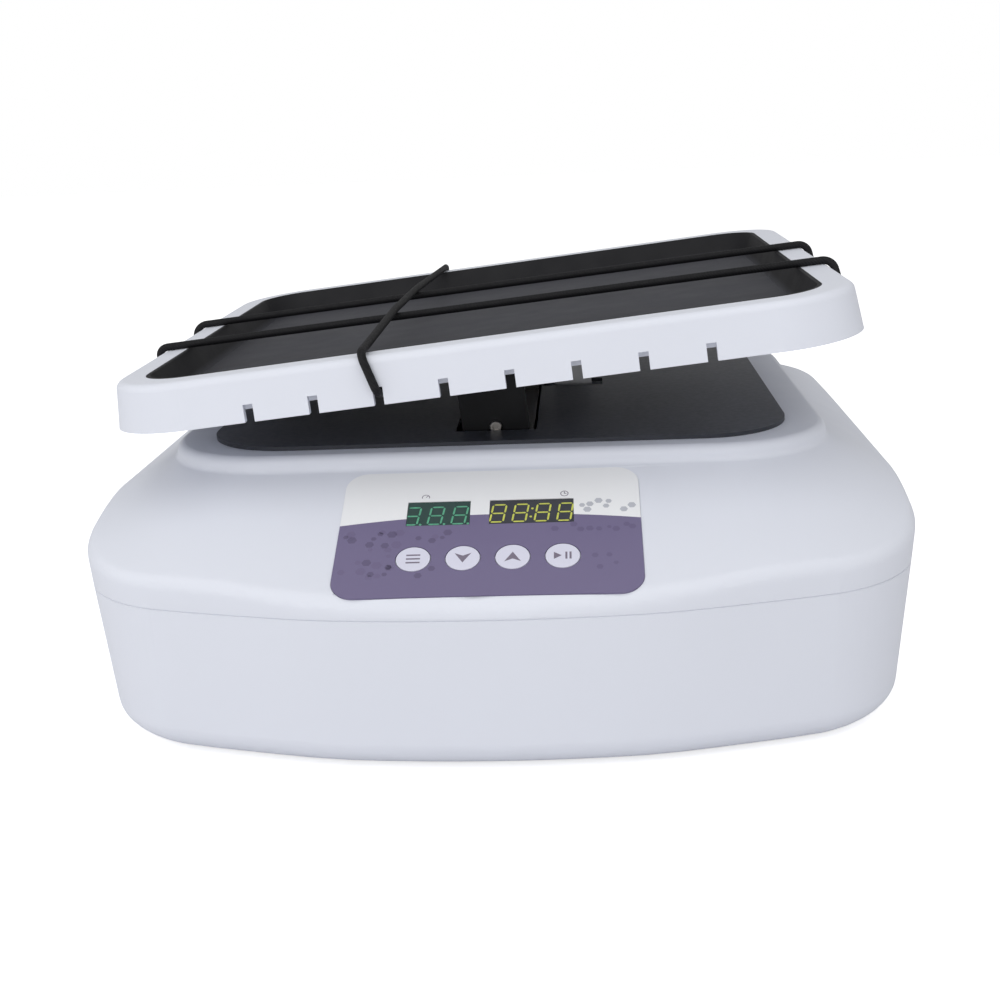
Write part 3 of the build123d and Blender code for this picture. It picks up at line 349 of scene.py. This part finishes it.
matLook = {
    "floor": (56, 57, 63),
    # the wall tone is painted shade: the same rubber as the floor, darkened where the wall gets less light
    "wall": (20, 20, 24),
    "mottle": 0.015,
    "mottleScale": 14,
    "tilt": 5.7,  # of the tray at rest
    "wallRise": (0.002, 0.0045),  # over the mat's lowest point, from the floor tone to the painted shade of the wall
    "glossScale": 60,
    "roughness": (0.62, 0.72),
    "grainScale": 2600,
    "grain": 0.2,
    "specular": 0.3,
}


def meshPlaces(mesh):
    # A mesh's points, one row each.
    places = np.empty(len(mesh.vertices) * 3)
    mesh.vertices.foreach_get("co", places)
    return places.reshape(-1, 3)


def matFinish(look):
    # Rubber with painted shade: its turned-up wall is painted darker than its floor, by the height over the
    # tilted tray.
    finish = Finish("mat")
    tilt = np.radians(look["tilt"])
    trayUp = np.array([-np.sin(tilt), 0, np.cos(tilt)])
    lowest = float((meshPlaces(nodes["platform_mat"].data) @ trayUp).min())
    x, y, z = finish.axes()
    height = finish.math("SUBTRACT", finish.math("MULTIPLY", z, float(np.cos(tilt))),
                         finish.math("MULTIPLY", x, float(np.sin(tilt))))
    low, high = look["wallRise"]
    wall = finish.spread(height, 0, 1, lowest + low, lowest + high)
    floor = finish.patches(look["mottleScale"], look["floor"], -look["mottle"], look["mottle"])
    # painted shade: the mat's wall takes the darker tone that stands in for its shade
    finish.feed("Base Color", finish.mix(wall, floor, linear(look["wall"])))
    finish.gloss(look)
    finish.bump(finish.noise(look["grainScale"], 4), look["grain"])
    finish.set("Specular IOR Level", look["specular"])
    return finish.material


materials = {name: plainFinish(name, look) for name, look in finishes.items()}
materials["cord"] = cordFinish(braid)
materials["mat"] = matFinish(matLook)
materials["overlay"] = overlayFinish(panel)
for name, look in displays.items():
    materials[name] = displayFinish(name, look["colour"], windowLook)

slotOf = {entry["node"]: entry["material_slot"] for entry in frame["record"]["subparts"]}
slotOf.update({look["node"]: name for name, look in displays.items()})
for name, piece in nodes.items():
    for slot in piece.material_slots:
        slot.material = materials[slotOf[name]]
print("stage: finishes on", len(nodes), "pieces")


# Housing shells: the CAD shells with the moulded walls' lean, a lower and rounder base, a fuller bow at the
# front and a line where they meet

shells = {
    "plan": {"half": 0.152, "front": 0.173, "rear": 0.1705, "bow": 0.480, "corner": 0.045},
    "moulded": {"half": 0.1503, "front": 0.1725, "rear": 0.1705, "bow": 0.390, "corner": 0.051},
    "seam": 0.0585,
    "groove": 0.0004,  # depth of the line and its height on each side of the seam
    "lean": 5.0,
    "slopes": (25.7, 28.4, 13.0),  # of the roof to the front, the sides and the rear
    "foot": 0.006,  # underside of the CAD base
    "drop": 0.0054,  # how far the base comes down, and the height where that starts
    "dropFrom": 0.022,
    "roundMore": 0.004,  # how far the base's edge goes in, and the height where that starts
    "roundFrom": 0.015,
    "grip": (0.0095, 0.0165),  # in from the wall: all of the move, then none of it
    "panelClear": (0.054, 0.084),  # off the middle: none of the move beside the panel, then all of it
    "rearClear": (0.06, 0.14),  # towards the rear: all of the lean, then none of it
    "roofFrom": (0.0006, 0.001),  # over the seam, where places start to climb the roof
    "wallCuts": (-0.05, 0.15, 15),  # first, last and number: the side walls twist evenly between these cuts
    "merge": 2e-6,
    "cutMerge": 1e-7,
    "seamReach": (1e-4, 1e-5),  # off the wall and off the seam's height, for a place that is on the seam
    "sharp": 35,
}


def ramp(value, low, high):
    # Zero up to low, one from high on, straight between.
    return np.clip((value - low) / (high - low), 0, 1)


def planDistance(x, y, plan, least=1e-9):
    # How far inside a bowed plan each place lies, and the outward direction there: the front is an arc, the
    # sides and rear are straight, and circles that touch both join them. At such a circle's own middle the
    # least distance keeps the direction a number.
    across = np.abs(x)
    bowY = plan["bow"] - plan["front"]
    inX = plan["half"] - plan["corner"]
    reach = plan["bow"] - plan["corner"]
    cornerY = bowY - np.sqrt(reach**2 - inX**2)
    contact = np.arctan2(cornerY - bowY, inX)
    rearY = plan["rear"] - plan["corner"]
    bow = np.hypot(across, y - bowY)
    front = np.hypot(across - inX, y - cornerY)
    back = np.hypot(across - inX, y - rearY)
    isFront = np.arctan2(y - bowY, across) < contact
    isCorner = ~isFront & (y < cornerY)
    isBackCorner = (y > rearY) & (across > inX)
    isBack = (y > rearY) & ~isBackCorner
    cases = [isFront, isCorner, isBackCorner, isBack]
    one, none = np.ones_like(x), np.zeros_like(x)
    front, back = np.maximum(front, least), np.maximum(back, least)
    distances = [plan["bow"] - bow, plan["corner"] - front, plan["corner"] - back, plan["rear"] - y]
    distance = np.select(cases, distances, plan["half"] - across)
    outX = np.select(cases, [across / bow, (across - inX) / front, (across - inX) / back, none], one)
    outY = np.select(cases, [(y - bowY) / bow, (y - cornerY) / front, (y - rearY) / back, one], none)
    return distance, np.where(x < 0, -outX, outX), outY


def mouldedPlaces(places, look, lower):
    # Every place near the wall moves in along the wall's outward direction: by the gap between the two plans,
    # and by the lean times the height from the seam. Over the roof it also climbs the slope it moves along.
    x, y, z = places.T
    distance, outX, outY = planDistance(x, y, look["plan"])
    gap = -planDistance(x + outX * distance, y + outY * distance, look["moulded"])[0]
    clear = np.where(y > 0, 1, ramp(np.abs(x + outX * distance), *look["panelClear"]))
    hold = 1 - ramp(distance, *look["grip"])
    rearHold = 1 - ramp(y, *look["rearClear"])
    lean = np.tan(np.radians(look["lean"]))
    if lower:
        down = z - look["drop"] * (1 - ramp(z, look["foot"], look["dropFrom"]))
        rounder = look["roundMore"] * (1 - ramp(z, look["foot"], look["roundFrom"])) ** 2
        inward = gap * clear + ((look["seam"] - down) * lean + rounder) * rearHold
        rise = 0
    else:
        down = z
        above = z - look["seam"]
        inward = np.where(y > 0, gap * clear - above * lean * rearHold, (gap - above * lean) * clear)
        front, side, rear = np.tan(np.radians(look["slopes"]))
        slope = np.where(outY < 0, front, rear) * outY**2 + side * outX**2
        rise = inward * slope * hold * ramp(above, *look["roofFrom"])
    offWall, offSeam = look["seamReach"]
    atSeam = (np.abs(z - look["seam"]) < offSeam) & (np.abs(distance) < offWall)
    inward = inward * hold + np.where(atSeam, look["groove"], 0)
    return np.stack([x - outX * inward, y - outY * inward, down + rise], axis=-1)


def cutAcross(shape, place, way, reach):
    # New edges where a plane meets the shape. Nothing is taken away.
    everything = shape.verts[:] + shape.edges[:] + shape.faces[:]
    bmesh.ops.bisect_plane(shape, geom=everything, plane_co=place, plane_no=way, dist=reach)


def mouldedShell(name, node, look, lower):
    # A merged copy of the CAD shell, cut beside the seam and across the side walls, then moved place by place.
    copy = bmesh.new()
    copy.from_mesh(nodes[node].data)
    bmesh.ops.remove_doubles(copy, verts=copy.verts, dist=look["merge"])
    level = look["seam"] - look["groove"] if lower else look["seam"] + look["groove"]
    cutAcross(copy, (0, 0, level), (0, 0, 1), look["cutMerge"])
    for y in np.linspace(*look["wallCuts"]):
        cutAcross(copy, (0, float(y), 0), (0, 1, 0), look["cutMerge"])
    mesh = bpy.data.meshes.new(name)
    copy.to_mesh(mesh)
    copy.free()
    mesh.vertices.foreach_set("co", mouldedPlaces(meshPlaces(mesh), look, lower).ravel())
    mesh.materials.clear()
    mesh.materials.append(materials["housing_shell"])
    mesh.shade_smooth()
    mesh.set_sharp_from_angle(angle=np.radians(look["sharp"]))
    piece = bpy.data.objects.new(name, mesh)
    bpy.context.scene.collection.objects.link(piece)
    even = piece.modifiers.new("even", "WEIGHTED_NORMAL")
    even.keep_sharp = True
    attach(piece, "housing")
    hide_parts(node)


mouldedShell("lowerShell", "lower_housing", shells, True)
mouldedShell("upperShell", "upper_housing", shells, False)
print("stage: housing shells moulded")


# Printed signs and lit segments: thin raised patches, one grid each, joined into one mesh per piece

patch = {
    "rimDrop": 0.00002,  # how far a print's rim drops, so that no patch ends in the air
    "signDrop": 0.00003,
    "litDrop": 0.0001,
    "barRim": 0.98,  # share of a bar's half width where its rim starts
    "dotRim": 1.02,  # share of a dot's radius where its rim ends
    "dotMiddle": 0.001,
}


def gridFaces(rows, columns):
    # Four-sided faces between the neighbours of a grid whose points are numbered row by row.
    index = np.arange(rows * columns).reshape(rows, columns)
    corners = [index[:-1, :-1], index[1:, :-1], index[1:, 1:], index[:-1, 1:]]
    return np.stack(corners, axis=-1).reshape(-1, 4)


def patchMesh(name, grids, body, material):
    # Join grids of points, each rows by columns by 3, into one mesh that faces out of the panel.
    starts = np.cumsum([0] + [grid.shape[0] * grid.shape[1] for grid in grids])
    points = np.concatenate([grid.reshape(-1, 3) for grid in grids])
    faces = np.concatenate([gridFaces(*grid.shape[:2]) + start for grid, start in zip(grids, starts)])
    corner = points[faces]
    normal = np.cross(corner[:, 1] - corner[:, 0], corner[:, 2] - corner[:, 0])
    turned = normal @ outward < 0
    faces[turned] = faces[turned, ::-1]
    mesh = bpy.data.meshes.new(name)
    mesh.from_pydata(points.tolist(), [], faces.tolist())
    mesh.update()
    piece = bpy.data.objects.new(name, mesh)
    bpy.context.scene.collection.objects.link(piece)
    mesh.materials.append(material)
    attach(piece, body)


def strip(start, end, width, taper, drop, out, steps=8):
    # Bar between two places on the panel: over the taper at each end its half width grows evenly from nothing,
    # and its rim drops towards the sheet.
    start, end = np.array(start, float), np.array(end, float)
    length = np.linalg.norm(end - start)
    along = (end - start) / length
    aside = np.array([-along[1], along[0]])
    ends = np.linspace(0, 1, steps) * taper
    s = np.concatenate([[0.0], ends, 1 - ends[::-1], [1.0]])
    t = np.array([-1.0, -patch["barRim"], patch["barRim"], 1.0])
    share = np.clip(np.minimum(s, 1 - s) / taper, 0, 1) if taper > 0 else np.ones_like(s)
    half = width / 2 * share
    sGrid, tGrid = np.meshgrid(s, t, indexing="ij")
    flat = start + along * (sGrid * length)[..., None] + aside * (tGrid * half[:, None])[..., None]
    rim = (np.abs(tGrid) > patch["barRim"]) | (sGrid <= 0) | (sGrid >= 1)
    return onPanel(flat[..., 0], flat[..., 1], np.where(rim, out - drop, out))


def dot(centre, radius, drop, out, rings=3, around=20):
    # Round patch: the radius grows evenly over the rings, and the outermost ring drops to the sheet.
    r = np.concatenate([np.linspace(patch["dotMiddle"], 1, rings), [patch["dotRim"]]])
    turn = np.linspace(0, 2 * np.pi, around + 1)
    rGrid, turnGrid = np.meshgrid(r, turn, indexing="ij")
    across = centre[0] + radius * rGrid * np.cos(turnGrid)
    up = centre[1] + radius * rGrid * np.sin(turnGrid)
    return onPanel(across, up, np.where(rGrid > 1, out - drop, out))


def arc(centre, radius, start, end, width, drop, out, steps=28, columns=4):
    # Ring piece: an arc from one angle to another with its width shared on both sides of the radius.
    turn = np.linspace(np.radians(start), np.radians(end), steps)
    t = np.linspace(-0.5, 0.5, columns)
    turnGrid, tGrid = np.meshgrid(turn, t, indexing="ij")
    r = radius + width * tGrid
    across = centre[0] + r * np.cos(turnGrid)
    up = centre[1] + r * np.sin(turnGrid)
    return onPanel(across, up, np.where(np.abs(tGrid) >= 0.5, out - drop, out))


# Digits in the two windows

digits = {
    "height": 0.0088,
    "width": 0.0046,
    "slant": 0.13,
    "bar": 0.00064,
    "barTaper": 0.12,
    "gap": 0.0005,
    "point": 0.0009,
    "out": -0.00011,  # from the sheet's face: just over the sunk window
    "green": {"colour": (84, 156, 124), "glow": 0.25},
    "yellow": {"colour": (184, 188, 82), "glow": 0.28},
    "mottle": -0.25,
    "mottleScale": 900,
    "roughness": 0.35,
}
speedDigits = {
    "centres": (-0.0271, -0.0188, -0.0105),
    "middle": 0.0217,
    "pointAside": 0.0030,
    "edge": -0.0289,  # the window's edge covers the first digit's left side
    "coveredBars": (3, 5),
}
timeDigits = {
    "centres": (0.0029, 0.0107, 0.0184, 0.0262),
    "middle": 0.0221,
    "colon": 0.01455,
    "colonRise": 0.0021,
}


def digitBars(look, centre, middle):
    # Seven bars of one leaning digit, as grids about its middle.
    w, h = look["width"] / 2, look["height"] / 2
    g = look["gap"] / 2
    ends = [((-w + g, h), (w - g, h)), ((-w + g, 0), (w - g, 0)), ((-w + g, -h), (w - g, -h)),
            ((-w, g), (-w, h - g)), ((w, g), (w, h - g)), ((-w, -h + g), (-w, -g)), ((w, -h + g), (w, -g))]
    bars = []
    for pair in ends:
        start, end = [(centre + x + look["slant"] * y, middle + y) for x, y in pair]
        bars.append(strip(start, end, look["bar"], look["barTaper"], patch["litDrop"], look["out"]))
    return bars


def digitPoint(look, across, up):
    # Round point of a digit.
    return dot((across, up), look["point"] / 2, patch["litDrop"], look["out"])


def litFinish(name, look, light):
    # Lit plastic bar: its own colour in fine patches, with a little light of its own.
    finish = Finish(name)
    tone = finish.patches(look["mottleScale"], light["colour"], 0, look["mottle"])
    finish.feed("Base Color", tone)
    finish.feed("Emission Color", tone)
    finish.set("Emission Strength", light["glow"])
    finish.set("Roughness", look["roughness"])
    return finish.material


def speedGrids(look, places):
    # Each digit with a point at its lower right. The bars that the window's edge covers are left out.
    grids = []
    for number, centre in enumerate(places["centres"]):
        bars = digitBars(look, centre, places["middle"])
        if number == 0:
            bars = [bar for i, bar in enumerate(bars) if i not in places["coveredBars"]]
            for bar in bars:
                bar[..., 0] = np.maximum(bar[..., 0], places["edge"])
        low = places["middle"] - look["height"] / 2
        grids += bars + [digitPoint(look, centre + places["pointAside"], low)]
    return grids


def timeGrids(look, places):
    # The digits and a leaning colon.
    grids = [bar for centre in places["centres"] for bar in digitBars(look, centre, places["middle"])]
    for rise in (-places["colonRise"], places["colonRise"]):
        grids.append(digitPoint(look, places["colon"] + look["slant"] * rise, places["middle"] + rise))
    return grids


litGreen = litFinish("litGreen", digits, digits["green"])
litYellow = litFinish("litYellow", digits, digits["yellow"])
patchMesh("speedDigits", speedGrids(digits, speedDigits), "housing", litGreen)
patchMesh("timeDigits", timeGrids(digits, timeDigits), "housing", litYellow)
print("stage: digits made")


# Key signs

signs = {
    "ink": {"colour": (116, 108, 124), "mottle": 0.03, "roughness": (0.4, 0.5), "grainScale": 2500,
            "grain": 0.04},
    "out": 0.00014,  # from the sheet's face: just over the key's face
    "stroke": 0.0007,
    "arrow": {"size": 0.0046, "half": 0.62, "back": 0.72, "notch": 0.28, "grid": (8, 6)},  # half to notch: shares
    "list": {"half": 0.0024, "rows": (-0.0018, 0, 0.0018)},
    "play": {"left": -0.0030, "length": 0.0026, "half": 0.0017, "bars": (0.0012, 0.0026), "tip": 0.02,
             "grid": (10, 7)},
}


def keyMiddle(name):
    # Half way between a key's sides.
    low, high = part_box(name)
    return (low.x + high.x) / 2


def arrowHead(keyX, direction, look):
    # Solid arrow head with a notched back: two halves, each a skewed grid from the tip to the back.
    arrow, out = look["arrow"], look["out"]
    size = direction * arrow["size"]
    rows, columns = arrow["grid"]
    sGrid, tGrid = np.meshgrid(np.linspace(0, 1, rows), np.linspace(0, 1, columns), indexing="ij")
    up = size * (0.5 - sGrid * (arrow["back"] + arrow["notch"] * tGrid))
    height = np.where((sGrid >= 1) | (tGrid >= 1), out - patch["signDrop"], out)
    half = arrow["size"] * arrow["half"]
    return [onPanel(keyX + side * half * sGrid * tGrid, up, height) for side in (-1, 1)]


def listRows(keyX, look):
    # Level bars, one over the other.
    half = look["list"]["half"]
    return [strip((keyX - half, up), (keyX + half, up), look["stroke"], 0, patch["signDrop"], look["out"])
            for up in look["list"]["rows"]]


def playPause(keyX, look):
    # Triangle whose half height shrinks evenly to the tip, and two upright bars.
    play, out = look["play"], look["out"]
    half = play["half"]
    rows, columns = play["grid"]
    sGrid, tGrid = np.meshgrid(np.linspace(0, 1, rows), np.linspace(-1, 1, columns), indexing="ij")
    across = keyX + play["left"] + play["length"] * sGrid
    up = half * tGrid * (1 - (1 - play["tip"]) * sGrid)
    triangle = onPanel(across, up, np.where(sGrid <= 0, out - patch["signDrop"], out))
    bars = [strip((keyX + x, -half), (keyX + x, half), look["stroke"], 0, patch["signDrop"], out)
            for x in play["bars"]]
    return [triangle] + bars


ink = plainFinish("signInk", signs["ink"])
middles = {name: keyMiddle(name) for name in ("menu_key", "down_key", "up_key", "start_key")}
patchMesh("downSign", arrowHead(middles["down_key"], -1, signs), "down_key_body", ink)
patchMesh("upSign", arrowHead(middles["up_key"], 1, signs), "up_key_body", ink)
patchMesh("listSign", listRows(middles["menu_key"], signs), "menu_key_body", ink)
patchMesh("playSign", playPause(middles["start_key"], signs), "start_key_body", ink)
print("stage: key signs made")


# Print on the sheet: two small signs over the windows and scattered six-sided spots

prints = {
    "out": 0.00003,
    "line": 0.00032,
    "gauge": {"centre": (-0.0230, 0.0313), "radius": 0.0013, "span": (-20, 200), "hands": ((0.7, 0.7),)},
    "clock": {"centre": (0.0260, 0.0315), "radius": 0.0013, "span": (0, 360), "hands": ((0, 0.75), (0.55, 0))},
    "spots": (
        {"name": "darkSpots", "colour": (93, 85, 115), "seed": 5, "count": 17,
         "across": (-0.050, -0.012), "up": (-0.008, 0.013), "size": (0.0009, 0.0019)},
        {"name": "dimSpots", "colour": (104, 95, 127), "seed": 8, "count": 15,
         "across": (-0.050, -0.010), "up": (-0.010, 0.014), "size": (0.0008, 0.0021)},
        {"name": "edgeSpots", "colour": (98, 90, 122), "seed": 3, "count": 9,
         "across": (0.020, 0.0505), "up": (0.0125, 0.0165), "size": (0.0008, 0.0016)},
        {"name": "greySpots", "colour": (178, 180, 188), "seed": 4, "count": 8,
         "across": (0.0305, 0.0505), "up": (0.0215, 0.0275), "size": (0.0008, 0.0015)},
        {"name": "lowSpots", "colour": (98, 90, 122), "seed": 6, "count": 4,
         "across": (0.036, 0.049), "up": (-0.006, 0.000), "size": (0.0007, 0.0013)},
    ),
    "spotFinish": {"mottle": 0.02, "roughness": (0.38, 0.46), "grainScale": 2600, "grain": 0.05},
    "keyClear": 0.0066,
    "spotClear": 0.92,  # share of two spots' sizes that they stay apart
    "tries": 60,
}


def spotCentres(look, keys, rules):
    # Seeded places in a box that stay off the keys and off each other.
    draw = np.random.default_rng(look["seed"])
    kept = []
    for _ in range(rules["tries"] * look["count"]):
        place = draw.uniform((look["across"][0], look["up"][0]), (look["across"][1], look["up"][1]))
        size = draw.uniform(*look["size"])
        offKeys = all(np.hypot(place[0] - x, place[1]) > rules["keyClear"] + size for x in keys)
        apart = all(np.hypot(*(place - other)) > rules["spotClear"] * (size + rest) for other, rest in kept)
        if offKeys and apart and len(kept) < look["count"]:
            kept.append((place, size))
    return kept


def dial(look, rules):
    # An arc with its hands, each from the middle to a share of the radius across and up.
    (x, y), radius = look["centre"], look["radius"]
    grids = [arc((x, y), radius, *look["span"], rules["line"], patch["rimDrop"], rules["out"])]
    for across, up in look["hands"]:
        tip = (x + across * radius, y + up * radius)
        grids.append(strip((x, y), tip, rules["line"], 0, patch["rimDrop"], rules["out"]))
    return grids


for look in prints["spots"]:
    spots = spotCentres(look, middles.values(), prints)
    spotGrids = [dot(place, size, patch["rimDrop"], prints["out"], rings=2, around=6) for place, size in spots]
    spotFinish = plainFinish(look["name"], {**prints["spotFinish"], "colour": look["colour"]})
    patchMesh(look["name"], spotGrids, "housing", spotFinish)
windowSigns = dial(prints["gauge"], prints) + dial(prints["clock"], prints)
patchMesh("windowSigns", windowSigns, "housing", ink)
print("stage: sheet printed")


# Studio

studio = {
    "floor": {"colour": (236, 236, 238), "mottle": -0.01, "mottleScale": 3, "roughness": 0.8,
              "specular": 0.1, "glow": 0.62, "half": 4, "squares": 8},
    "worldStrength": 0.5,
    "aim": (0, 0, 0.08),
    "lamps": {
        "front": {"place": (-0.6, -1.9, 0.75), "size": 1.5, "power": 11.5},
        "right": {"place": (1.5, -0.4, 0.9), "size": 1.2, "power": 3.0},
        "left": {"place": (-1.5, -0.4, 0.9), "size": 1.2, "power": 5.0},
        "top": {"place": (0.1, -0.7, 1.6), "size": 1.6, "power": 9.5},
    },
}


def makeFloor(look):
    # A square grid at no height. It glows only where the camera sees it, so it shows white with its shadow.
    finish = Finish("floor")
    finish.feed("Base Color", finish.patches(look["mottleScale"], look["colour"], 0, look["mottle"]))
    finish.set("Roughness", look["roughness"])
    finish.set("Specular IOR Level", look["specular"])
    finish.set("Emission Color", (1, 1, 1, 1))
    light = finish.add("ShaderNodeLightPath")
    finish.feed("Emission Strength", finish.math("MULTIPLY", light.outputs["Is Camera Ray"], look["glow"]))
    count = look["squares"] + 1
    s = np.linspace(-look["half"], look["half"], count)
    x, y = np.meshgrid(s, s, indexing="ij")
    points = np.stack([x, y, 0 * x], axis=-1).reshape(-1, 3)
    mesh = bpy.data.meshes.new("floor")
    mesh.from_pydata(points.tolist(), [], gridFaces(count, count).tolist())
    floor = bpy.data.objects.new("floor", mesh)
    bpy.context.scene.collection.objects.link(floor)
    mesh.materials.append(finish.material)


def makeWorld(strength):
    # White where the camera sees it, and a softer even light on the object.
    world = bpy.data.worlds.new("studio")
    bpy.context.scene.world = world
    world.use_nodes = True
    tree = world.node_tree
    back = tree.nodes["Background"]
    back.inputs["Color"].default_value = (1, 1, 1, 1)
    light = tree.nodes.new("ShaderNodeLightPath")
    seen = tree.nodes.new("ShaderNodeMapRange")
    seen.inputs[3].default_value = strength
    seen.inputs[4].default_value = 1.0
    tree.links.new(light.outputs["Is Camera Ray"], seen.inputs[0])
    tree.links.new(seen.outputs[0], back.inputs["Strength"])


def makeLamp(name, look, aim):
    # Square soft lamp that points at the aim.
    data = bpy.data.lights.new(name, "AREA")
    data.energy = look["power"]
    data.size = look["size"]
    lamp = bpy.data.objects.new(name, data)
    bpy.context.scene.collection.objects.link(lamp)
    lamp.location = look["place"]
    lamp.rotation_euler = (Vector(aim) - Vector(look["place"])).to_track_quat("-Z", "Y").to_euler()


makeFloor(studio["floor"])
makeWorld(studio["worldStrength"])
for name, look in studio["lamps"].items():
    makeLamp(name, look, studio["aim"])
print("stage: studio lit")
